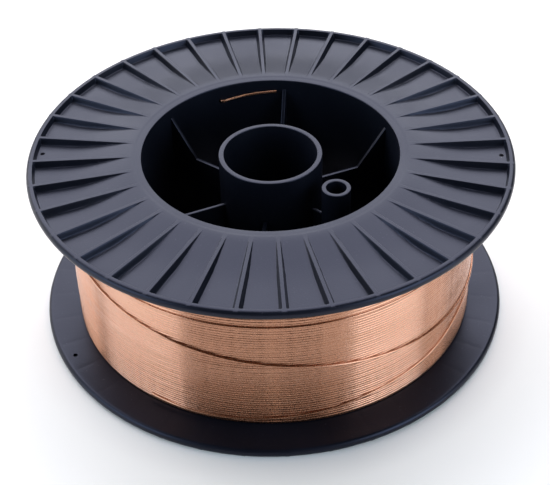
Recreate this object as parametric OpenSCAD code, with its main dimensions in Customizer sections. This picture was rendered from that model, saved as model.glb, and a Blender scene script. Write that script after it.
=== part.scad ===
// Spool of welding wire: a one-piece moulded spool, lying on one flange,
// wound full with copper-coated wire. Millimetres, +Z up along the spool's axis,
// origin at the centre of the face that the spool stands on.

/* [Spool] */
// Diameter of both flanges
flange_d = 270; // [240:1:330]
// Overall width, from outer face to outer face
spool_w = 103; // [80:1:130]
// Height of a flange at its rim
flange_t = 5; // [4:0.1:8]
// Thickness of a flange's plate behind its ribs
plate_t = 1.6; // [1.2:0.1:3]
// Width of a flange's rim
rim_w = 3.5; // [2.6:0.1:5]
// Draft of the rim's inner wall
rim_draft = 15; // [0:1:25]
// Radius of the rounding on the rim's outer edges
rim_round = 2.2; // [0.3:0.1:2.4]
// Bevel on the ends of the hub, the drive tube and the barrel
edge_break = 0.6; // [0.2:0.1:1]

/* [Barrel] */
// Outer diameter of the barrel that the wire is wound on
barrel_d = 150.4; // [130:0.2:184]
// Wall thickness of the barrel
barrel_wall = 3.5; // [2:0.1:5]
// Width of the raised ring round the barrel's mouth
mouth_ring_w = 3.8; // [3:0.1:8]
// Drop of the barrel's end face below that ring
mouth_step = 0.2; // [0.1:0.05:0.6]
// Width of the ramp between the barrel's end face and the ring
mouth_ramp_w = 1.5; // [0.5:0.1:2.5]
// Width of the cone that slopes from the ring down to the flat of the plate
cone_w = 28; // [15:0.5:32]

/* [Flange ribs] */
// Number of ribs on each flange
rib_n = 36; // [24:1:48]
// Width of a rib at its top
rib_top_w = 2; // [1.5:0.1:3]
// Draft of each side of a rib
rib_draft = 21; // [1:0.5:25]
// Distance of the ribs' outer ends from the flange's edge
rib_end_margin = 0.7; // [0.3:0.1:2]
// Angle of the first rib
rib_phase = 2; // [0:0.5:10]

/* [Hub] */
// Diameter of the hub's bore
bore_d = 52; // [40:0.1:64]
// Wall thickness of the hub
hub_wall = 3; // [2:0.1:4]
// Depth of the hub's ends below the flange faces
hub_inset = 2.2; // [0.5:0.1:5]

/* [Webs] */
// Number of webs between hub and barrel
web_n = 6; // [4:1:8]
// Thickness of a web
web_t = 2; // [1.5:0.1:4]
// Angle of the first web
web_phase = 22.5; // [0:0.5:60]
// Depth of a web's edges below the flange faces
web_inset = 28.5; // [15:0.5:32]
// Reach of a web's gussets from the barrel towards the hub
gusset_w = 17.2; // [8:0.1:20]
// Depth of a gusset's tip below the flange faces
gusset_inset = 6.3; // [4:0.1:12]

/* [Drive hole] */
// Web that carries the drive tube, counted from the first
drive_web = 5; // [0:1:5]
// Radius of the circle that the drive hole lies on
drive_pitch_r = 44.5; // [42:0.1:50]
// Diameter of the drive hole
drive_d = 11; // [8:0.1:12]
// Wall thickness of the drive tube
drive_wall = 2.6; // [1.5:0.1:3]
// Depth of the drive tube's ends below the flange faces
drive_inset = 7.2; // [3:0.1:12]

/* [Wire] */
// Diameter of the wire
wire_d = 1.6; // [0.8:0.1:2.4]
// Room left between the full winding and the flange's edge
winding_margin = 18.8; // [10:0.2:40]
// Gap between the winding and the spool
winding_gap = 0.15; // [0.1:0.05:0.5]

/* [Wire holes] */
// Width of the holes for the wire's ends beyond the wire itself
wire_hole_clearance = 1; // [0.8:0.1:2.5]
// Distance of the anchor holes from the flange's edge
anchor_margin = 7; // [5.5:0.1:9]
// Bay of the upper flange, counted from the first rib, that has an anchor hole
upper_anchor_bay = 17; // [0:1:23]
// Bay of the lower flange that has an anchor hole
lower_anchor_bay = 20; // [0:1:23]
// Angle from the second web to the place where the wire's start enters the barrel
start_angle_from_web = 29.5; // [20:0.5:38]
// Distance of that place below the flange's wire side
start_drop = 4.4; // [3:0.1:10]
// Radius of the start's bend round the edge of its hole
start_bend_r = 2.2; // [2:0.1:4]
// Rise of the start along the inside of the barrel
start_rise = 2.4; // [0:0.1:3]
// Clearance between the start and the inside of the barrel
start_clearance = 0.5; // [0.3:0.1:2]
// Gap between the start's end and the web
start_end_gap = 3.5; // [1:0.5:15]

/* [Hidden] */
$fn = 96;
eps = 0.01;
flange_r = flange_d / 2;
barrel_r = barrel_d / 2;
hollow_r = barrel_r - barrel_wall;
ring_r = barrel_r + mouth_ring_w;
plate_r = ring_r + cone_w;
dish = flange_t - plate_t;
rim_corner_r = min(rim_round, 0.45 * flange_t, rim_w - 0.5);
rib_pitch = 360 / rib_n;
bore_r = bore_d / 2;
hub_r = bore_r + hub_wall;
web_pitch = 360 / web_n;
drive_r = drive_d / 2;
wire_r = wire_d / 2;
wire_hole_d = wire_d + wire_hole_clearance;
// Layers lie in the grooves of the layer below, so they are less than a wire apart
layer_pitch = wire_d * sin(60);
winding_in_r = barrel_r + winding_gap;
layers = 1 + floor((flange_r - winding_margin - winding_in_r - wire_d) / layer_pitch);
winding_r = winding_in_r + wire_d + (layers - 1) * layer_pitch;
winding_w = spool_w - 2 * (flange_t + winding_gap);
start_web_angle = web_phase + web_pitch;
start_leg_r = hollow_r - start_clearance - wire_r;
start_turn = start_angle_from_web - asin((web_t / 2 + start_end_gap) / start_leg_r);
start_tilt = asin(start_rise / (start_leg_r * sin(start_turn)));

// What a round of radius r takes off the corner of a square, at the origin
module corner_round(r) {
    difference() {
        translate([-eps, -eps]) square(r + eps);
        translate([r, r]) circle(r);
    }
}

// Half section of a flange, its outer face on y = 0
module flange_section() {
    difference() {
        polygon([
            [hollow_r, mouth_step],
            [barrel_r, mouth_step],
            [barrel_r + mouth_ramp_w, 0],
            [ring_r, 0],
            [plate_r, dish],
            [flange_r - rim_w - dish * tan(rim_draft), dish],
            [flange_r - rim_w, 0],
            [flange_r, 0],
            [flange_r, flange_t],
            [hollow_r, flange_t]
        ]);
        translate([flange_r, 0]) mirror([1, 0]) corner_round(rim_corner_r);
        translate([flange_r, flange_t]) rotate(180) corner_round(rim_corner_r);
        translate([hollow_r, mouth_step]) corner_round(edge_break);
    }
}

// One rib: a drafted bar, flush with the ring and the rim, that ends on the rim's rounding
module rib() {
    inner = ring_r - mouth_ring_w / 2;
    outer = flange_r - rib_end_margin;
    depth = dish + plate_t / 2;
    foot_w = rib_top_w + 2 * depth * tan(rib_draft);
    translate([inner, 0, 0])
        rotate([90, 0, 90])
            linear_extrude(outer - inner)
                polygon([
                    [-rib_top_w / 2, 0],
                    [rib_top_w / 2, 0],
                    [foot_w / 2, depth],
                    [-foot_w / 2, depth]
                ]);
}

// A flange lying on its outer face, with two anchor holes on opposite sides
module flange(anchor_bay) {
    difference() {
        union() {
            rotate_extrude() flange_section();
            for (i = [0 : rib_n - 1])
                rotate(rib_phase + i * rib_pitch) rib();
        }
        for (i = [anchor_bay, anchor_bay + floor(rib_n / 2)])
            rotate(rib_phase + (i + 0.5) * rib_pitch)
                translate([flange_r - anchor_margin, 0, -eps])
                    cylinder(h = flange_t + 2 * eps, d = wire_hole_d);
    }
}

// Frame of the wire's start: it turns into the barrel at x = start_leg_r, y = 0, and
// runs on towards -y, rising
module start_place() {
    rotate(start_web_angle + start_angle_from_web)
        translate([0, 0, spool_w - flange_t - start_drop])
            rotate([-start_tilt, 0, 0]) children();
}

module barrel() {
    difference() {
        translate([0, 0, flange_t / 2])
            cylinder(h = spool_w - flange_t, r = barrel_r);
        cylinder(h = spool_w, r = hollow_r);
        start_place()
            translate([0, start_bend_r, 0])
                rotate([0, 90, 0]) cylinder(h = flange_r, d = wire_hole_d);
    }
}

// Solid bar along the axis, its ends set in from the faces and bevelled
module bar(r, inset) {
    rotate_extrude()
        polygon([
            [0, inset],
            [r - edge_break, inset],
            [r, inset + edge_break],
            [r, spool_w - inset - edge_break],
            [r - edge_break, spool_w - inset],
            [0, spool_w - inset]
        ]);
}

// Bore through such a bar, widened by a bevel at each end of the bar
module bore(r, inset) {
    rotate_extrude()
        polygon([
            [0, 0],
            [r + edge_break, 0],
            [r + edge_break, inset],
            [r, inset + edge_break],
            [r, spool_w - inset - edge_break],
            [r + edge_break, spool_w - inset],
            [r + edge_break, spool_w],
            [0, spool_w]
        ]);
}

// One web: a flat plate from hub to barrel, with gussets towards its ends
module web() {
    inner = hub_r - hub_wall / 2;
    outer = hollow_r + barrel_wall / 2;
    gusset_r = hollow_r - gusset_w;
    rotate([90, 0, 0])
        translate([0, 0, -web_t / 2])
            linear_extrude(web_t)
                polygon([
                    [inner, web_inset],
                    [gusset_r, web_inset],
                    [hollow_r, gusset_inset],
                    [outer, gusset_inset],
                    [outer, spool_w - gusset_inset],
                    [hollow_r, spool_w - gusset_inset],
                    [gusset_r, spool_w - web_inset],
                    [inner, spool_w - web_inset]
                ]);
}

module drive_place() {
    rotate(web_phase + drive_web * web_pitch) translate([drive_pitch_r, 0, 0]) children();
}

module spool() {
    color("#22242b") {
        difference() {
            union() {
                flange(lower_anchor_bay);
                translate([0, 0, spool_w]) mirror([0, 0, 1]) flange(upper_anchor_bay);
                barrel();
                for (i = [0 : web_n - 1])
                    rotate(web_phase + i * web_pitch) web();
                bar(hub_r, hub_inset);
                drive_place() bar(drive_r + drive_wall, drive_inset);
            }
            bore(bore_r, hub_inset);
            drive_place() bore(drive_r, drive_inset);
        }
    }
}

// Half section of the winding from y = 0 up, with a turn of each layer on both ends
module winding_section() {
    translate([winding_in_r, wire_r]) square([winding_r - winding_in_r, winding_w - wire_d]);
    for (i = [0 : layers - 1], y = [wire_r, winding_w - wire_r])
        translate([winding_in_r + wire_r + i * layer_pitch, y]) circle(wire_r);
}

// The wire's start: in through the barrel's wall, round a bend and along the inside
module wire_start() {
    bend_x = start_leg_r + start_bend_r;
    start_place() {
        translate([bend_x, start_bend_r, 0])
            rotate([0, 90, 0]) cylinder(h = winding_in_r + wire_r - bend_x, r = wire_r);
        translate([bend_x, 0, 0])
            rotate(90)
                rotate_extrude(angle = 90) translate([start_bend_r, 0]) circle(wire_r);
        mirror([0, 1, 0])
            rotate_extrude(angle = start_turn) translate([start_leg_r, 0]) circle(wire_r);
    }
}

module welding_wire() {
    color("#c98e6a") {
        union() {
            translate([0, 0, flange_t + winding_gap]) rotate_extrude() winding_section();
            wire_start();
        }
    }
}

spool();
welding_wire();
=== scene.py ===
import math

import bmesh
import bpy
import numpy as np
from mathutils import Matrix, Vector


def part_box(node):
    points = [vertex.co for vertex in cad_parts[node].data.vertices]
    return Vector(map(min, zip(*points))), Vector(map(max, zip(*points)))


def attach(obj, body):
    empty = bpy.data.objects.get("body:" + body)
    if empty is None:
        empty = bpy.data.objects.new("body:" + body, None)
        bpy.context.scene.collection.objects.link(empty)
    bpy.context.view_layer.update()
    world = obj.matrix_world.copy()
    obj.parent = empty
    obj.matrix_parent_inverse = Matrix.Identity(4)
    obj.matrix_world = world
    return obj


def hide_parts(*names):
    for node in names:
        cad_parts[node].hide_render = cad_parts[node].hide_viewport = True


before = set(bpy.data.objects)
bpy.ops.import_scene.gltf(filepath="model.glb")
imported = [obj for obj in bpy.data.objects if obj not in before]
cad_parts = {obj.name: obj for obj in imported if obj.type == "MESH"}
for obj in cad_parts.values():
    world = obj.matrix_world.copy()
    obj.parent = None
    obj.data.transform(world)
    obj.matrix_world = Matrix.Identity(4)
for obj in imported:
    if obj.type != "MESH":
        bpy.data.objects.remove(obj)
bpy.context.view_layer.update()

MM = 0.001

# ---------------------------------------------------------------- sizes, the outer ones from the frame

_, spool_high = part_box("spool")
wire_low, wire_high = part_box("welding_wire")
FLANGE_R = spool_high.x
WIDTH = spool_high.z
WINDING_R = wire_high.x
WINDING_LOW = wire_low.z
WINDING_HIGH = wire_high.z

FLANGE_T = 5.0 * MM         # height of a flange at its rim
PLATE_T = 1.6 * MM          # plate behind the ribs
RIM_W = 3.5 * MM
RIM_DRAFT = math.radians(15)
RIM_ROUND = 2.2 * MM
BARREL_R = 75.2 * MM
HOLLOW_R = 71.7 * MM
RING_R = 79.0 * MM          # where the flat ring ends and the cone starts
FLOOR_R = 107.0 * MM        # where the cone meets the plate
MOUTH_STEP = 0.2 * MM
RIBS = 36
RIB_PHASE = math.radians(2)
RIB_TOP_W = 2.0 * MM
RIB_DRAFT = math.radians(21)
RIB_END_R = FLANGE_R - 0.7 * MM
DISH = FLANGE_T - PLATE_T

BORE_R = 26.0 * MM
HUB_R = 29.0 * MM
HUB_INSET = 2.2 * MM
WEBS = 6
WEB_PHASE = math.radians(22.5)
WEB_T = 2.0 * MM
WEB_INSET = 28.5 * MM
WEB_EDGE = 0.3 * MM
GUSSET_W = 17.2 * MM
GUSSET_INSET = 6.3 * MM
DRIVE_CIRCLE_R = 44.5 * MM  # the drive hole's distance from the axis
DRIVE_ANGLE = math.radians(-37.5)
DRIVE_AT = Matrix.Rotation(DRIVE_ANGLE, 4, "Z") @ Vector((DRIVE_CIRCLE_R, 0, 0))
DRIVE_R = 5.5 * MM
DRIVE_WALL = 2.6 * MM
DRIVE_INSET = 7.2 * MM

ANCHOR_R = 128.0 * MM
ANCHOR_D = 2.6 * MM
ANCHOR_LOW_R = ANCHOR_D / 2 - 0.28 * MM     # the wire holes near the rims taper a little
ANCHOR_HIGH_R = ANCHOR_D / 2 + 0.03 * MM
UPPER_ANCHOR_ANGLES = [math.radians(a) for a in (177, 357)]
LOWER_ANCHOR_ANGLES = [math.radians(a) for a in (27, 207)]

WIRE_D = 1.6 * MM
START_BEND_R = 2.2 * MM
START_LEG_R = 70.4 * MM     # the start's distance from the axis, inside the barrel
START_TURN = math.radians(25.8)
START_ANGLE = math.radians(112)
START_DEPTH = 9.4 * MM      # below the upper flange's outer face
START_TILT = math.radians(-4.5)
START_PLACE = (Matrix.Rotation(START_ANGLE, 4, "Z") @ Matrix.Translation((0, 0, WIDTH - START_DEPTH))
               @ Matrix.Rotation(START_TILT, 4, "X"))


# ---------------------------------------------------------------- small helpers

def link(obj):
    """Puts an object in the scene and returns it."""
    bpy.context.scene.collection.objects.link(obj)
    return obj


def mesh_object(name, vertices, faces):
    """An object with a mesh of those vertices and faces."""
    mesh = bpy.data.meshes.new(name)
    mesh.from_pydata([tuple(v) for v in vertices], [], faces)
    mesh.update()
    return link(bpy.data.objects.new(name, mesh))


def grid_faces(rows, columns, close_rows, close_columns):
    """Quads of a grid whose vertex (row, column) has the index row * columns + column."""
    faces = []
    for i in range(rows if close_rows else rows - 1):
        for j in range(columns if close_columns else columns - 1):
            a, b = i * columns, (i + 1) % rows * columns
            k = (j + 1) % columns
            faces.append((a + j, a + k, b + k, b + j))
    return faces


def arc(cx, cy, radius, start, end, steps):
    """Points along an arc from start to end degrees, both ends included."""
    angles = np.radians(np.linspace(start, end, steps + 1))
    return [(cx + radius * math.cos(a), cy + radius * math.sin(a)) for a in angles]


def turned(name, section, segments=128):
    """A closed solid turned round the Z axis from a closed section of (radius, height) points."""
    vertices = []
    for r, z in section:
        for k in range(segments):
            a = 2 * math.pi * k / segments
            vertices.append((r * math.cos(a), r * math.sin(a), z))
    obj = mesh_object(name, vertices, grid_faces(len(section), segments, True, True))
    outward(obj)
    return obj


def outward(obj):
    """Merges doubles and turns every face of a closed mesh outwards."""
    work = bmesh.new()
    work.from_mesh(obj.data)
    bmesh.ops.remove_doubles(work, verts=work.verts, dist=1e-6)
    bmesh.ops.recalc_face_normals(work, faces=work.faces)
    work.to_mesh(obj.data)
    work.free()


def without_slivers(obj):
    """Takes out the faces of no area that a Boolean leaves."""
    work = bmesh.new()
    work.from_mesh(obj.data)
    bmesh.ops.dissolve_degenerate(work, dist=2e-7, edges=work.edges)
    work.to_mesh(obj.data)
    work.free()


def smooth(obj, angle=32):
    """Smooth shading, with edges sharper than that angle in degrees kept sharp."""
    for polygon in obj.data.polygons:
        polygon.use_smooth = True
    obj.data.set_sharp_from_angle(angle=math.radians(angle))


def evaluated(obj):
    """Replaces an object's mesh with what its modifiers make of it."""
    graph = bpy.context.evaluated_depsgraph_get()
    result = bpy.data.meshes.new_from_object(obj.evaluated_get(graph))
    obj.modifiers.clear()
    obj.data = result
    return obj


def combine(body, others, operation):
    """Joins others to body, or cuts them out of it, and removes them."""
    for other in others:
        modifier = body.modifiers.new(operation, "BOOLEAN")
        modifier.operation = operation
        modifier.solver = "MANIFOLD"
        modifier.object = other
        evaluated(body)
        bpy.data.objects.remove(other)


# ---------------------------------------------------------------- node trees

def new_tree(kind, name, inputs, output):
    """A node tree with inputs (name, socket type, default) and one output (name, socket type)."""
    tree = bpy.data.node_groups.new(name, kind)
    title, socket_type = output
    tree.interface.new_socket(title, in_out="OUTPUT", socket_type=socket_type)
    for title, socket_type, default in inputs:
        socket = tree.interface.new_socket(title, in_out="INPUT", socket_type=socket_type)
        if default is not None:
            socket.default_value = default
    return tree, tree.nodes.new("NodeGroupInput"), tree.nodes.new("NodeGroupOutput")


def node(tree, kind, **settings):
    """A node of that kind. A setting whose name is a property of the node sets it."""
    made = tree.nodes.new(kind)
    for key, value in settings.items():
        setattr(made, key, value)
    return made


def run_tree(obj, tree, **values):
    """Runs a tree on an object with named inputs and keeps the mesh that comes out."""
    modifier = obj.modifiers.new(tree.name, "NODES")
    modifier.node_group = tree
    for item in tree.interface.items_tree:
        if item.item_type == "SOCKET" and item.in_out == "INPUT":
            key = item.name.lower().replace(" ", "_")
            if key in values:
                modifier[item.identifier] = values[key]
    return evaluated(obj)


def round_array_tree():
    """Copies an object round the Z axis and welds neighbouring copies together."""
    tree, given, result = new_tree("GeometryNodeTree", "copies_round_axis", [
        ("Piece", "NodeSocketObject", None),
        ("Count", "NodeSocketInt", 6),
        ("Phase", "NodeSocketFloat", 0.0),
        ("Weld", "NodeSocketFloat", 0.0),
        ("Material", "NodeSocketMaterial", None),
    ], ("Geometry", "NodeSocketGeometry"))
    links = tree.links
    info = node(tree, "GeometryNodeObjectInfo")
    links.new(given.outputs["Piece"], info.inputs["Object"])
    line = node(tree, "GeometryNodeMeshLine")
    links.new(given.outputs["Count"], line.inputs["Count"])
    line.inputs["Offset"].default_value = (0, 0, 0)
    index = node(tree, "GeometryNodeInputIndex")
    step = node(tree, "ShaderNodeMath", operation="DIVIDE")
    step.inputs[0].default_value = 2 * math.pi
    links.new(given.outputs["Count"], step.inputs[1])
    turn = node(tree, "ShaderNodeMath", operation="MULTIPLY_ADD")
    links.new(index.outputs[0], turn.inputs[0])
    links.new(step.outputs[0], turn.inputs[1])
    links.new(given.outputs["Phase"], turn.inputs[2])
    angle = node(tree, "ShaderNodeCombineXYZ")
    links.new(turn.outputs[0], angle.inputs["Z"])
    copies = node(tree, "GeometryNodeInstanceOnPoints")
    links.new(line.outputs[0], copies.inputs["Points"])
    links.new(info.outputs["Geometry"], copies.inputs["Instance"])
    links.new(angle.outputs[0], copies.inputs["Rotation"])
    real = node(tree, "GeometryNodeRealizeInstances")
    links.new(copies.outputs[0], real.inputs[0])
    weld = node(tree, "GeometryNodeMergeByDistance")
    links.new(real.outputs[0], weld.inputs["Geometry"])
    links.new(given.outputs["Weld"], weld.inputs["Distance"])
    paint = node(tree, "GeometryNodeSetMaterial")
    links.new(weld.outputs[0], paint.inputs["Geometry"])
    links.new(given.outputs["Material"], paint.inputs["Material"])
    links.new(paint.outputs[0], result.inputs[0])
    return tree


def wire_tree():
    """Turns a curve into round wire with closed ends. Radius is the wire's own."""
    tree, given, result = new_tree("GeometryNodeTree", "wire_along_path", [
        ("Path", "NodeSocketGeometry", None),
        ("Radius", "NodeSocketFloat", WIRE_D / 2),
        ("Sides", "NodeSocketInt", 8),
        ("Material", "NodeSocketMaterial", None),
    ], ("Geometry", "NodeSocketGeometry"))
    links = tree.links
    to_curve = node(tree, "GeometryNodeMeshToCurve")
    links.new(given.outputs["Path"], to_curve.inputs["Mesh"])
    ring = node(tree, "GeometryNodeCurvePrimitiveCircle")
    links.new(given.outputs["Sides"], ring.inputs["Resolution"])
    links.new(given.outputs["Radius"], ring.inputs["Radius"])
    tube = node(tree, "GeometryNodeCurveToMesh")
    links.new(to_curve.outputs[0], tube.inputs["Curve"])
    links.new(ring.outputs[0], tube.inputs["Profile Curve"])
    tube.inputs["Fill Caps"].default_value = True
    shade = node(tree, "GeometryNodeSetShadeSmooth")
    links.new(tube.outputs[0], shade.inputs["Geometry"])
    real = node(tree, "GeometryNodeRealizeInstances")
    links.new(shade.outputs[0], real.inputs[0])
    paint = node(tree, "GeometryNodeSetMaterial")
    links.new(real.outputs[0], paint.inputs["Geometry"])
    links.new(given.outputs["Material"], paint.inputs["Material"])
    links.new(paint.outputs[0], result.inputs[0])
    return tree


# ---------------------------------------------------------------- materials

def noise_group():
    """Soft patches from 0 to 1 on a point, at a scale in patches per metre."""
    group, given, result = new_tree("ShaderNodeTree", "soft_patches", [
        ("Point", "NodeSocketVector", None),
        ("Scale", "NodeSocketFloat", 50.0),
        ("Low", "NodeSocketFloat", 0.35),
        ("High", "NodeSocketFloat", 0.65),
    ], ("Mask", "NodeSocketFloat"))
    links = group.links
    cloud = node(group, "ShaderNodeTexNoise")
    cloud.inputs["Detail"].default_value = 4.0
    links.new(given.outputs["Point"], cloud.inputs["Vector"])
    links.new(given.outputs["Scale"], cloud.inputs["Scale"])
    spread = node(group, "ShaderNodeMapRange", interpolation_type="SMOOTHSTEP")
    links.new(cloud.outputs[0], spread.inputs["Value"])
    links.new(given.outputs["Low"], spread.inputs["From Min"])
    links.new(given.outputs["High"], spread.inputs["From Max"])
    links.new(spread.outputs[0], result.inputs["Mask"])
    return group


PATCHES = noise_group()


def patches(tree, point, scale, low, high):
    """The mask output of a soft_patches group in a material's tree."""
    made = node(tree, "ShaderNodeGroup", node_tree=PATCHES)
    tree.links.new(point, made.inputs["Point"])
    made.inputs["Scale"].default_value = scale
    made.inputs["Low"].default_value = low
    made.inputs["High"].default_value = high
    return made.outputs["Mask"]


def blend_colour(tree, mask, one, two):
    """A colour between one and two by a mask. Each is a colour or an output."""
    mix = node(tree, "ShaderNodeMix", data_type="RGBA")
    tree.links.new(mask, mix.inputs["Factor"])
    for socket, value in ((mix.inputs["A"], one), (mix.inputs["B"], two)):
        if isinstance(value, tuple):
            socket.default_value = (*value, 1.0)
        else:
            tree.links.new(value, socket)
    return mix.outputs["Result"]


def spread_value(tree, mask, low, high):
    """A value from low to high as the mask goes from 0 to 1."""
    made = node(tree, "ShaderNodeMapRange")
    made.inputs["To Min"].default_value = low
    made.inputs["To Max"].default_value = high
    tree.links.new(mask, made.inputs["Value"])
    return made.outputs[0]


def new_material(name):
    """A material with its principled shader, and the object coordinates of its points."""
    material = bpy.data.materials.new(name)
    material.use_nodes = True
    tree = material.node_tree
    shader = tree.nodes["Principled BSDF"]
    place = node(tree, "ShaderNodeTexCoord").outputs["Object"]
    return material, tree, shader, place


def bump(tree, height, distance):
    """A bump from a height of 0 to 1 that is distance metres high."""
    made = node(tree, "ShaderNodeBump")
    made.inputs["Strength"].default_value = 1.0
    made.inputs["Distance"].default_value = distance
    tree.links.new(height, made.inputs["Height"])
    return made.outputs[0]


def math_node(tree, operation, one, two):
    """The output of a maths node on two outputs."""
    made = node(tree, "ShaderNodeMath", operation=operation)
    tree.links.new(one, made.inputs[0])
    tree.links.new(two, made.inputs[1])
    return made.outputs[0]


def fade(tree, value, start, end, high):
    """A value from 0 to high while the given output goes from start to end."""
    made = node(tree, "ShaderNodeMapRange")
    made.inputs["From Min"].default_value = start
    made.inputs["From Max"].default_value = end
    made.inputs["To Max"].default_value = high
    tree.links.new(value, made.inputs["Value"])
    return made.outputs[0]


def plastic_material():
    """Black moulded plastic with a satin grain, faint flow clouds and a little dust."""
    material, tree, shader, place = new_material("black_moulded_plastic")
    shader.inputs["Specular IOR Level"].default_value = 0.26
    shader.inputs["Specular Tint"].default_value = (0.72, 0.73, 1.0, 1.0)
    clouds = patches(tree, place, 28.0, 0.3, 0.7)
    dust = patches(tree, place, 900.0, 0.66, 0.80)
    body = blend_colour(tree, clouds, (0.004, 0.005, 0.008), (0.005, 0.006, 0.010))
    tree.links.new(blend_colour(tree, dust, body, (0.045, 0.045, 0.055)), shader.inputs["Base Color"])
    grain = patches(tree, place, 1500.0, 0.2, 0.8)
    tree.links.new(spread_value(tree, clouds, 0.28, 0.36), shader.inputs["Roughness"])
    tree.links.new(bump(tree, grain, 0.02 * MM), shader.inputs["Normal"])
    return material


def copper_material():
    """Thin bright copper on drawn steel wire, with a tone that changes from turn to turn.

    The drawn finish spreads a highlight across the wire and keeps it sharp along it."""
    material, tree, shader, place = new_material("copper_coated_steel")
    shader.inputs["Metallic"].default_value = 1.0
    tone = node(tree, "ShaderNodeAttribute", attribute_name="turn_tone").outputs["Fac"]
    clouds = patches(tree, place, 45.0, 0.3, 0.7)
    shader.inputs["Coat Weight"].default_value = 0.85
    shader.inputs["Coat IOR"].default_value = 1.6
    shader.inputs["Coat Roughness"].default_value = 0.2
    base = blend_colour(tree, tone, (0.48, 0.205, 0.10), (0.58, 0.275, 0.155))
    tree.links.new(blend_colour(tree, clouds, base, (0.53, 0.235, 0.125)), shader.inputs["Base Color"])
    grain = patches(tree, place, 2500.0, 0.2, 0.8)
    tree.links.new(spread_value(tree, grain, 0.25, 0.29), shader.inputs["Roughness"])
    along = node(tree, "ShaderNodeTangent", direction_type="RADIAL", axis="Z").outputs[0]
    tree.links.new(along, shader.inputs["Tangent"])
    shader.inputs["Anisotropic"].default_value = 0.9
    shader.inputs["Anisotropic Rotation"].default_value = 0.25
    return material


LIFT_NEAR = 0.35                # how far the floor near the spool is lifted towards white
SHADOW_EDGE = 20 * MM           # the stretch round the spool over which the lift begins
FAR_FLOOR = (0.7, 1.3)          # metres from the axis over which the rest of the lift comes


def floor_material():
    """Pale matt paper. Seen directly or in a reflection it is lifted towards white.

    Under the spool and at its edge it isn't, so the shadow there stays. Far away it is white."""
    material, tree, shader, place = new_material("pale_floor")
    shader.inputs["Base Color"].default_value = (0.935, 0.885, 0.82, 1.0)
    shader.inputs["Roughness"].default_value = 0.9
    shader.inputs["Specular IOR Level"].default_value = 0.1
    path = node(tree, "ShaderNodeLightPath").outputs
    seen = math_node(tree, "MAXIMUM", path["Is Camera Ray"], path["Is Glossy Ray"])
    seen = math_node(tree, "MAXIMUM", seen, path["Is Transmission Ray"])
    reach = node(tree, "ShaderNodeVectorMath", operation="LENGTH")
    tree.links.new(place, reach.inputs[0])
    distance = reach.outputs["Value"]
    near = fade(tree, distance, FLANGE_R, FLANGE_R + SHADOW_EDGE, LIFT_NEAR)
    far = fade(tree, distance, *FAR_FLOOR, 1 - LIFT_NEAR)
    share = math_node(tree, "MULTIPLY", seen, math_node(tree, "ADD", near, far))
    glow = node(tree, "ShaderNodeEmission")
    mix = node(tree, "ShaderNodeMixShader")
    tree.links.new(share, mix.inputs[0])
    tree.links.new(shader.outputs[0], mix.inputs[1])
    tree.links.new(glow.outputs[0], mix.inputs[2])
    tree.links.new(mix.outputs[0], tree.nodes["Material Output"].inputs["Surface"])
    return material


# ---------------------------------------------------------------- the spool

RIB_ROUND = 0.28 * MM
FILLET = 0.6 * MM             # where a rib meets the plate
CONE_START = 2.5 * MM         # half of the stretch over which the cone bends away from the ring
CONE_END = 1.2 * MM           # fillet where the cone meets the plate
BARREL_FILLET = 1.0 * MM
MOUTH_ROUND = 0.6 * MM
RIB_END_SHARE = 0.6           # a rib's end falls by this share of the crown's own fall
RIM_EDGE = 0.3 * MM
RIM_FOOT = 0.6 * MM
SINK = 0.05 * MM              # depth of the sink marks behind the ribs
SINK_W = 1.2 * MM

# Where the mesh of a bay has its lines: columns in mm from a rib's middle and in shares of half a
# bay, rows as radii in mm, at the mouth in mm past the barrel with their share of MOUTH_STEP, and in
# the hollow in mm below the outer face.
RIB_COLUMNS = (0, 0.5, 0.78, 0.92, 1.05, 1.3, 1.55, 1.8, 2.05, 2.3, 2.55, 2.85)
BAY_COLUMNS = (0.48, 0.72, 1.0)
BACK_ROWS = (78, 92, 106, 120, 131)
PLATE_ROWS = (129.8, 126, 120, 114, 110, 108, 107, 106, 103, 99, 95, 91, 87, 84, 82, 80.5, 79, 77.6)
MOUTH_ROWS = ((1.7, 0), (1.2, 0.2), (0.4, 0.8), (-0.2, 1))
HOLLOW_ROWS = (20, 40)
SHARED_OFFSETS = {"plain": (0, 1.05 * MM, 2.85 * MM), "sink": (0, 0.78 * MM, 1.55 * MM, 2.85 * MM)}


def plate_depth(r):
    """How far the outer face of a flange lies below its rim at a radius."""
    past = r - RING_R
    if abs(past) < CONE_START:
        past = (past + CONE_START) ** 2 / (4 * CONE_START)
    cone = DISH * max(past, 0) / (FLOOR_R - RING_R)
    return soft_min(cone, DISH, CONE_END)


def rib_depth(offset):
    """How far a rib's surface lies below the rim at a distance from its middle."""
    middle = RIB_TOP_W / 2 - RIB_ROUND * (1 - math.sin(RIB_DRAFT)) / math.cos(RIB_DRAFT)
    x = np.abs(offset) - middle
    rounded = RIB_ROUND - np.sqrt(np.maximum(RIB_ROUND ** 2 - np.clip(x, 0, RIB_ROUND) ** 2, 0))
    start = RIB_ROUND * (1 - math.sin(RIB_DRAFT))
    edge_x = RIB_ROUND * math.cos(RIB_DRAFT)
    return np.where(x < edge_x, rounded, start + (x - edge_x) / math.tan(RIB_DRAFT))


def soft_min(a, b, width):
    """The smaller of two depths, with a fillet of about that width where they meet."""
    near = np.maximum(width - np.abs(a - b), 0) / width
    return np.maximum(np.minimum(a, b) - near ** 2 * width / 4, 0)


def bay_columns():
    """Columns across one rib and its bay: (sideways offset, angle). One of the two is zero."""
    half_bay = math.pi / RIBS
    side = [(o * MM, 0.0) for o in RIB_COLUMNS] + [(0.0, half_bay * share) for share in BAY_COLUMNS]
    return [(-o, -a) for o, a in side[:0:-1]] + side


def rows_of(kind, points):
    """Rows of one kind through (radius, depth) points."""
    return [(r, depth, kind) for r, depth in points]


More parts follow.
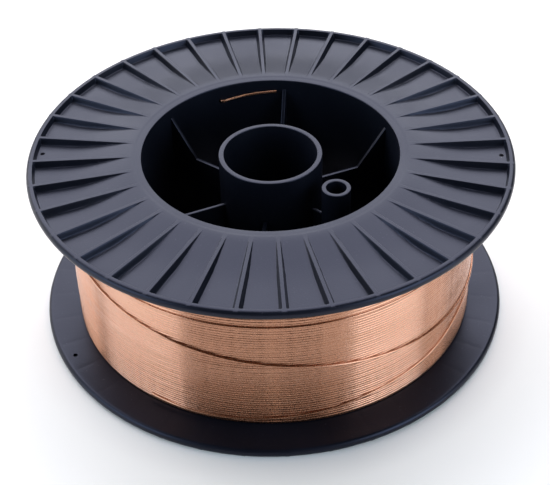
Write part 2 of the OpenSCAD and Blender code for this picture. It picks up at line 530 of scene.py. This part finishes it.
def flange_rows():
    """Rows of a flange's section from the barrel outwards, round the rim and in to the hollow.

    Each is (radius, depth from the outer face, kind), where kind is rib, sink or plain."""
    middle = FLANGE_R - RIM_ROUND
    inner = FLANGE_R - RIM_W
    lean = math.degrees(RIM_DRAFT)
    foot_r = inner - (RIM_FOOT + (DISH - RIM_FOOT) * math.sin(RIM_DRAFT)) / math.cos(RIM_DRAFT)
    mouth = MOUTH_STEP + MOUTH_ROUND
    rows = rows_of("plain", arc(BARREL_R + BARREL_FILLET, FLANGE_T + BARREL_FILLET, BARREL_FILLET,
                                180, 270, 3))
    rows += rows_of("sink", [(r * MM, FLANGE_T) for r in BACK_ROWS])
    rows += rows_of("plain", arc(middle, FLANGE_T - RIM_ROUND, RIM_ROUND, 90, 0, 6))
    rows += rows_of("plain", arc(middle, RIM_ROUND, RIM_ROUND, 0, -44, 5))
    for r in (RIB_END_R + 0.04 * MM, RIB_END_R - 0.06 * MM, middle + 1.1 * MM, middle + 0.5 * MM, middle):
        depth = RIM_ROUND - math.sqrt(RIM_ROUND ** 2 - (r - middle) ** 2)
        rows.append((r, depth, "plain" if r > RIB_END_R else "rib"))
    rows += rows_of("rib", arc(inner + RIM_EDGE, RIM_EDGE, RIM_EDGE, 270, 180 + lean, 3))
    rows += rows_of("rib", arc(foot_r, DISH - RIM_FOOT, RIM_FOOT, lean, 90, 4))
    rows += rows_of("rib", [(r * MM, None) for r in PLATE_ROWS])
    rows += rows_of("plain", [(BARREL_R + past * MM, MOUTH_STEP * share) for past, share in MOUTH_ROWS])
    rows += rows_of("plain", arc(HOLLOW_R + MOUTH_ROUND, mouth, MOUTH_ROUND, 270, 180, 4))
    rows += rows_of("plain", [(HOLLOW_R, depth * MM) for depth in HOLLOW_ROWS])
    return rows


def rib_end_depth(r):
    """How far the rounded end of a rib falls where it runs out over the rim's crown."""
    past = max(r - (FLANGE_R - RIM_ROUND), 0)
    return RIB_END_SHARE * (RIM_ROUND - math.sqrt(RIM_ROUND ** 2 - past ** 2))


def flange_point(row, column):
    """The point of a flange where a row meets a column, with its outer face at height 0.

    Away from the ribs, columns share points, and the weld joins them, so plain faces stay light."""
    r, depth, kind = row
    offset, angle = column
    if kind != "rib":
        offset = math.copysign(min(SHARED_OFFSETS[kind], key=lambda o: abs(o - abs(offset))), offset)
    if kind == "rib":
        section = plate_depth(r) if depth is None else depth
        sideways = abs(offset) if angle == 0 else r * abs(angle)
        z = float(soft_min(section, rib_depth(sideways) + rib_end_depth(r), FILLET))
    elif kind == "sink":
        z = depth - SINK * math.exp(-(offset / SINK_W) ** 2) * (angle == 0)
    else:
        z = depth
    if angle == 0:
        return math.sqrt(r * r - offset * offset), offset, z
    return r * math.cos(angle), r * math.sin(angle), z


def spool_bay():
    """One bay of the moulding: a ten-degree sector with a rib on each flange, open at its sides."""
    rows = flange_rows()
    columns = bay_columns()
    vertices = [flange_point(row, c) for row in rows for c in columns]
    vertices += [(x, y, WIDTH - z) for row in rows[::-1] for x, y, z in
                 (flange_point(row, c) for c in columns)]
    return mesh_object("spool_bay", vertices, grid_faces(2 * len(rows), len(columns), True, False))


def tube_section(inner, outer, inset, edge):
    """The section of a tube with its ends' edges rounded, its ends an inset inside the spool's."""
    low, high = inset, WIDTH - inset
    corners = ((inner + edge, low + edge, 180), (outer - edge, low + edge, 270),
               (outer - edge, high - edge, 0), (inner + edge, high - edge, 90))
    return [point for x, y, start in corners for point in arc(x, y, edge, start, start + 90, 3)]


def hub_tube():
    """The hub, round the spindle bore."""
    return turned("hub_tube", tube_section(BORE_R, HUB_R, HUB_INSET, 0.45 * MM))


def drive_tube():
    """The tube round the drive hole."""
    section = tube_section(DRIVE_R, DRIVE_R + DRIVE_WALL, DRIVE_INSET, 0.4 * MM)
    tube = turned("drive_tube", section, 64)
    tube.data.transform(Matrix.Translation(DRIVE_AT))
    return tube


def rod(name, radius, start, end, segments=32, end_radius=None):
    """A round rod between two points, or a taper if its end has another radius."""
    start, end = Vector(start), Vector(end)
    work = bmesh.new()
    turn = (end - start).to_track_quat("Z", "Y").to_matrix().to_4x4()
    bmesh.ops.create_cone(work, cap_ends=True, segments=segments, radius1=radius,
                          radius2=end_radius or radius, depth=(end - start).length,
                          matrix=Matrix.Translation((start + end) / 2) @ turn)
    mesh = bpy.data.meshes.new(name)
    work.to_mesh(mesh)
    work.free()
    return link(bpy.data.objects.new(name, mesh))


def web_plate():
    """One web in the XZ plane, with its edges broken."""
    inner = (BORE_R + HUB_R) / 2
    outer = (HOLLOW_R + BARREL_R) / 2
    lower = [(inner, WEB_INSET), (HOLLOW_R - GUSSET_W, WEB_INSET), (HOLLOW_R, GUSSET_INSET),
             (outer, GUSSET_INSET)]
    outline = lower + [(x, WIDTH - z) for x, z in lower[::-1]]
    work = bmesh.new()
    sides = [[work.verts.new((x, y, z)) for x, z in outline] for y in (-WEB_T / 2, WEB_T / 2)]
    work.faces.new(sides[0])
    work.faces.new(sides[1][::-1])
    for i in range(len(outline)):
        k = (i + 1) % len(outline)
        work.faces.new((sides[0][i], sides[1][i], sides[1][k], sides[0][k]))
    bmesh.ops.recalc_face_normals(work, faces=work.faces)
    long_edges = [e for e in work.edges if abs(e.verts[0].co.y - e.verts[1].co.y) < 1e-6]
    bmesh.ops.bevel(work, geom=long_edges, offset=WEB_EDGE, segments=2, affect="EDGES", profile=0.5)
    mesh = bpy.data.meshes.new("web_plate")
    work.to_mesh(mesh)
    work.free()
    return link(bpy.data.objects.new("web_plate", mesh))


def anchor_holes():
    """Cutters for the wire holes near the rims, a little wider at their upper ends."""
    past = 0.2 * MM         # how far a cutter runs out of the plate
    holes = []
    lower = [(a, FLANGE_T - PLATE_T) for a in LOWER_ANCHOR_ANGLES]
    upper = [(a, WIDTH - FLANGE_T) for a in UPPER_ANCHOR_ANGLES]
    for a, foot in lower + upper:
        start = Vector((ANCHOR_R * math.cos(a), ANCHOR_R * math.sin(a), foot - past))
        end = start + Vector((0, 0, PLATE_T + 2 * past))
        holes.append(rod("anchor_hole", ANCHOR_LOW_R, start, end, end_radius=ANCHOR_HIGH_R))
    return holes


def through_holes():
    """Cutters for the drive tube's bore and for the wire's way through the barrel wall."""
    past = 10 * MM
    drive = rod("drive_bore", DRIVE_R, DRIVE_AT - Vector((0, 0, past)),
                DRIVE_AT + Vector((0, 0, WIDTH + past)), 64)
    start = rod("start_hole", ANCHOR_D / 2, START_PLACE @ Vector((HOLLOW_R - 3 * MM, START_BEND_R, 0)),
                START_PLACE @ Vector((BARREL_R + 4 * MM, START_BEND_R, 0)))
    return drive, start


def build_spool(copies, material):
    """The whole moulding as one closed mesh."""
    host = mesh_object("spool_moulding", [], [])
    bay = spool_bay()
    run_tree(host, copies, piece=bay, count=RIBS, phase=RIB_PHASE, weld=0.01 * MM, material=material)
    outward(host)
    plate = web_plate()
    webs = run_tree(mesh_object("webs", [], []), copies, piece=plate, count=WEBS,
                    phase=WEB_PHASE, weld=0.0, material=material)
    for part in (bay, plate):
        bpy.data.objects.remove(part)
    combine(host, [hub_tube(), webs, drive_tube()], "UNION")
    drive, start = through_holes()
    combine(host, [drive, *anchor_holes(), start], "DIFFERENCE")
    without_slivers(host)
    host.data.materials.clear()
    host.data.materials.append(material)
    smooth(host)
    return host


# ---------------------------------------------------------------- the wire

def path_object(name, points):
    """A chain of edges through points, for wire_along_path."""
    mesh = bpy.data.meshes.new(name)
    mesh.from_pydata([tuple(p) for p in points], [(i, i + 1) for i in range(len(points) - 1)], [])
    return link(bpy.data.objects.new(name, mesh))


TURN_PITCH = 1.627 * MM
TURN_STEPS = 96             # points in one turn
FREE_STEPS = 4              # of these, how many wander in and out by themselves
LAYER_R = WINDING_R - WIRE_D / 2
LAYER_PITCH = 0.88 * WIRE_D  # each layer lies in the grooves of the one below
CORE_GAP = 0.15 * MM        # between the barrel and the first layer
CORE_R = LAYER_R + 0.5 * MM  # the layers below reach up between the outer turns

# Routes of the turns that cross the outer layer: (angle in degrees, height in mm).
LONG_ROUTE = [(-170, 75), (-147, 66), (-133.75, 61.9), (-118.75, 57.25), (-107.5, 54.1), (-95, 50.6),
              (-87.5, 48.75), (-77.5, 45.6), (-67.5, 42.9), (-56.25, 39.75), (-43.75, 37), (-35, 36),
              (-25, 35.5), (-5, 35)]
LOW_ROUTE = [(-126, 9.1), (-111, 7.9), (-90, 10.4), (-75, 12.9), (-68.75, 14.75), (-56, 17.5),
             (-43.75, 20), (-37.5, 22.25), (-30, 26.6), (-20, 33)]
HIGH_ROUTE = [(-135, 75.6), (-116, 75.4), (-83, 75.4), (-50, 75.4), (-30, 75.0)]


def wander(t, seed, waves=5):
    """A smooth random walk of t, about -1 to 1."""
    rng = np.random.default_rng(seed)
    total = np.zeros_like(t)
    for _ in range(waves):
        total += rng.normal() * np.sin(t * rng.uniform(0.3, 2.2) + rng.uniform(0, 6.28))
    return total / math.sqrt(waves)


def outer_turns(wires, material):
    """The outer layer: one wire laid in even turns from flange to flange."""
    low = WINDING_LOW + WIRE_D / 2
    high = WINDING_HIGH - WIRE_D / 2
    turns = round((high - low) / TURN_PITCH)
    t = np.arange(turns * TURN_STEPS + 1) / TURN_STEPS
    angle = 2 * np.pi * t
    each_turn = np.arange(turns + 2)
    rng = np.random.default_rng(4)
    uneven = rng.normal(0, 0.05 * MM, turns + 2)
    z = low + (high - low) * t / turns + np.interp(t, each_turn, uneven) + 0.04 * MM * wander(angle, 3)
    proud = rng.normal(0, 0.03 * MM, turns + 2)
    r = LAYER_R + 0.05 * MM * wander(angle, 5) + proud[t.astype(int)]
    free = slice(None, None, TURN_STEPS // FREE_STEPS)
    r = np.interp(t, t[free], r[free])
    points = np.stack([r * np.cos(angle), r * np.sin(angle), z], 1)
    layer = path_object("wire_outer_turns", points)
    run_tree(layer, wires, radius=WIRE_D / 2, sides=12, material=material)
    tone = rng.uniform(0, 1, turns + 2)
    add_tone(layer, lambda co: np.interp((co[:, 2] - low) / (high - low) * turns, each_turn, tone))
    return layer


def add_tone(obj, rule):
    """Stores turn_tone, 0 to 1, at every vertex by a rule on the vertex positions."""
    co = np.zeros(len(obj.data.vertices) * 3)
    obj.data.vertices.foreach_get("co", co)
    attribute = obj.data.attributes.new("turn_tone", "FLOAT", "POINT")
    attribute.data.foreach_set("value", rule(co.reshape(-1, 3)).astype(np.float32))


def even_tone(obj, tone):
    """Stores one turn_tone all over a piece."""
    add_tone(obj, lambda co: np.full(len(co), tone))


def winding_core(material):
    """What lies under the outer layer, with the layers' turns on both end faces."""
    inner = BARREL_R + CORE_GAP
    count = int((CORE_R - inner) / LAYER_PITCH)
    middle_z = WINDING_LOW + WIRE_D / 2
    section = []
    for i in range(count):
        middle = inner + (i + 0.5) * (CORE_R - inner) / count
        section += arc(middle, middle_z, (CORE_R - inner) / count / 2, 180, 360, 4)[:-1]
    section.append((CORE_R, middle_z))
    section += [(x, WINDING_LOW + WINDING_HIGH - y) for x, y in section[::-1]]
    core = turned("wire_under_layers", section, 144)
    smooth(core, 60)
    core.data.materials.append(material)
    even_tone(core, 0.4)
    return core


def stray_turn(name, wires, material, route, lift):
    """A turn that crosses the outer layer, lifted above it."""
    degrees, heights = np.array(route).T
    t = np.linspace(0, 1, 160)
    k = np.linspace(0, 1, len(route))
    angle = np.interp(t, k, np.radians(degrees))
    height = np.interp(t, k, heights * MM)
    for _ in range(12):     # rounds the route off at its points
        height[1:-1] = (height[:-2] + height[1:-1] * 2 + height[2:]) / 4
    r = LAYER_R + lift
    points = np.stack([r * np.cos(angle), r * np.sin(angle), height], 1)
    piece = path_object(name, points)
    run_tree(piece, wires, radius=WIRE_D / 2, sides=10, material=material)
    even_tone(piece, 0.0)
    return piece


def wire_start(wires, material):
    """The wire's start: in through the barrel wall, round a bend and along the inside."""
    middle = START_LEG_R + START_BEND_R
    points = [(r, START_BEND_R, 0) for r in (BARREL_R + 0.6 * MM, HOLLOW_R + 2 * MM)]
    points += [(x, y, 0) for x, y in arc(middle, 0, START_BEND_R, 90, 180, 8)]
    points += [(x, y, 0) for x, y in arc(0, 0, START_LEG_R, 0, -math.degrees(START_TURN), 20)[1:]]
    piece = path_object("wire_start", [START_PLACE @ Vector(p) for p in points])
    run_tree(piece, wires, radius=WIRE_D / 2, sides=12, material=material)
    even_tone(piece, 0.7)
    return piece


# ---------------------------------------------------------------- stage, lights and camera

COOL = (0.82, 1.04, 1.30)   # a lamp colour a little towards blue
FLOOR_HALF = 12.0           # metres


def soft_box(name, azimuth, elevation, distance, width, height, radiance, aim=0.05,
             colour=(1.0, 1.0, 1.0)):
    """A soft box that faces the axis at a height (aim), from an azimuth and elevation in degrees."""
    lamp = bpy.data.lights.new(name, "AREA")
    lamp.color = colour
    lamp.shape = "RECTANGLE"
    lamp.size = width
    lamp.size_y = height
    lamp.energy = radiance * math.pi * width * height
    obj = link(bpy.data.objects.new(name, lamp))
    a, e = math.radians(azimuth), math.radians(elevation)
    direction = Vector((math.cos(e) * math.cos(a), math.cos(e) * math.sin(a), math.sin(e)))
    obj.location = Vector((0, 0, aim)) + direction * distance
    obj.rotation_euler = direction.to_track_quat("Z", "Y").to_euler()


def build_stage():
    """Pale floor and the room's dim light."""
    corners = [(x * FLOOR_HALF, y * FLOOR_HALF, 0) for x, y in ((-1, -1), (1, -1), (1, 1), (-1, 1))]
    floor = mesh_object("floor", corners, [(0, 1, 2, 3)])
    floor.data.materials.append(floor_material())
    world = bpy.data.worlds.new("studio")
    world.use_nodes = True
    room = world.node_tree.nodes["Background"].inputs
    room["Color"].default_value = (1.0, 0.88, 0.80, 1.0)
    room["Strength"].default_value = 0.07
    bpy.context.scene.world = world
    bpy.context.scene.view_settings.view_transform = "Standard"


def build_camera():
    """The camera. It looks down on the spool's upper face, then turns a little off it."""
    camera = bpy.data.cameras.new("camera")
    camera.sensor_width = 36.0
    camera.lens = 85.06
    camera.clip_start = 0.01
    obj = link(bpy.data.objects.new("camera", camera))
    elevation, yaw, pitch, roll = (math.radians(a) for a in (35.25, -0.095, -4.094, 1.57))
    distance = 0.7243       # from the middle of the upper face
    forward = Vector((0, math.cos(elevation), -math.sin(elevation)))
    right = Vector((1, 0, 0))
    up = right.cross(forward)
    place = Vector((0, 0, WIDTH)) - forward * distance
    forward, right = (Matrix.Rotation(yaw, 3, up) @ v for v in (forward, right))
    forward, up = (Matrix.Rotation(pitch, 3, right) @ v for v in (forward, up))
    right, up = (Matrix.Rotation(roll, 3, forward) @ v for v in (right, up))
    turn = Matrix((right, up, -forward)).transposed().to_4x4()
    obj.matrix_world = Matrix.Translation(place) @ turn
    bpy.context.scene.camera = obj


# ---------------------------------------------------------------- build

build_camera()
build_stage()
soft_box("back_soft_box", azimuth=93, elevation=51, distance=1.3, width=2.0, height=1.55, radiance=4.2,
         colour=(0.94, 0.97, 1.08))
soft_box("left_soft_box", azimuth=202, elevation=0, distance=1.0, width=0.82, height=1.00, radiance=2.6,
         aim=0.5, colour=COOL)
soft_box("left_fill", azimuth=153, elevation=0, distance=1.1, width=0.76, height=1.00, radiance=1.6,
         aim=0.5)
soft_box("right_soft_box", azimuth=-34, elevation=0, distance=1.0, width=0.68, height=1.00, radiance=3.35,
         aim=0.5, colour=COOL)
soft_box("right_fill", azimuth=-5, elevation=0, distance=1.1, width=0.27, height=1.00, radiance=1.0,
         aim=0.5)
soft_box("right_edge_fill", azimuth=-61, elevation=0, distance=1.1, width=0.26, height=1.00, radiance=0.5,
         aim=0.5)
soft_box("front_strip", azimuth=269, elevation=15, distance=1.2, width=0.03, height=0.7, radiance=1.4)

plastic = plastic_material()
copper = copper_material()
round_array = round_array_tree()
wire_along = wire_tree()

spool = build_spool(round_array, plastic)
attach(spool, "root")
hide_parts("spool")

wire_pieces = [
    outer_turns(wire_along, copper),
    winding_core(copper),
    stray_turn("stray_turn_long", wire_along, copper, LONG_ROUTE, 1.2 * MM),
    stray_turn("stray_turn_low", wire_along, copper, LOW_ROUTE, 0.9 * MM),
    stray_turn("stray_turn_high", wire_along, copper, HIGH_ROUTE, 0.65 * MM),
    wire_start(wire_along, copper),
]
for piece in wire_pieces:
    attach(piece, "root")
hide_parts("welding_wire")
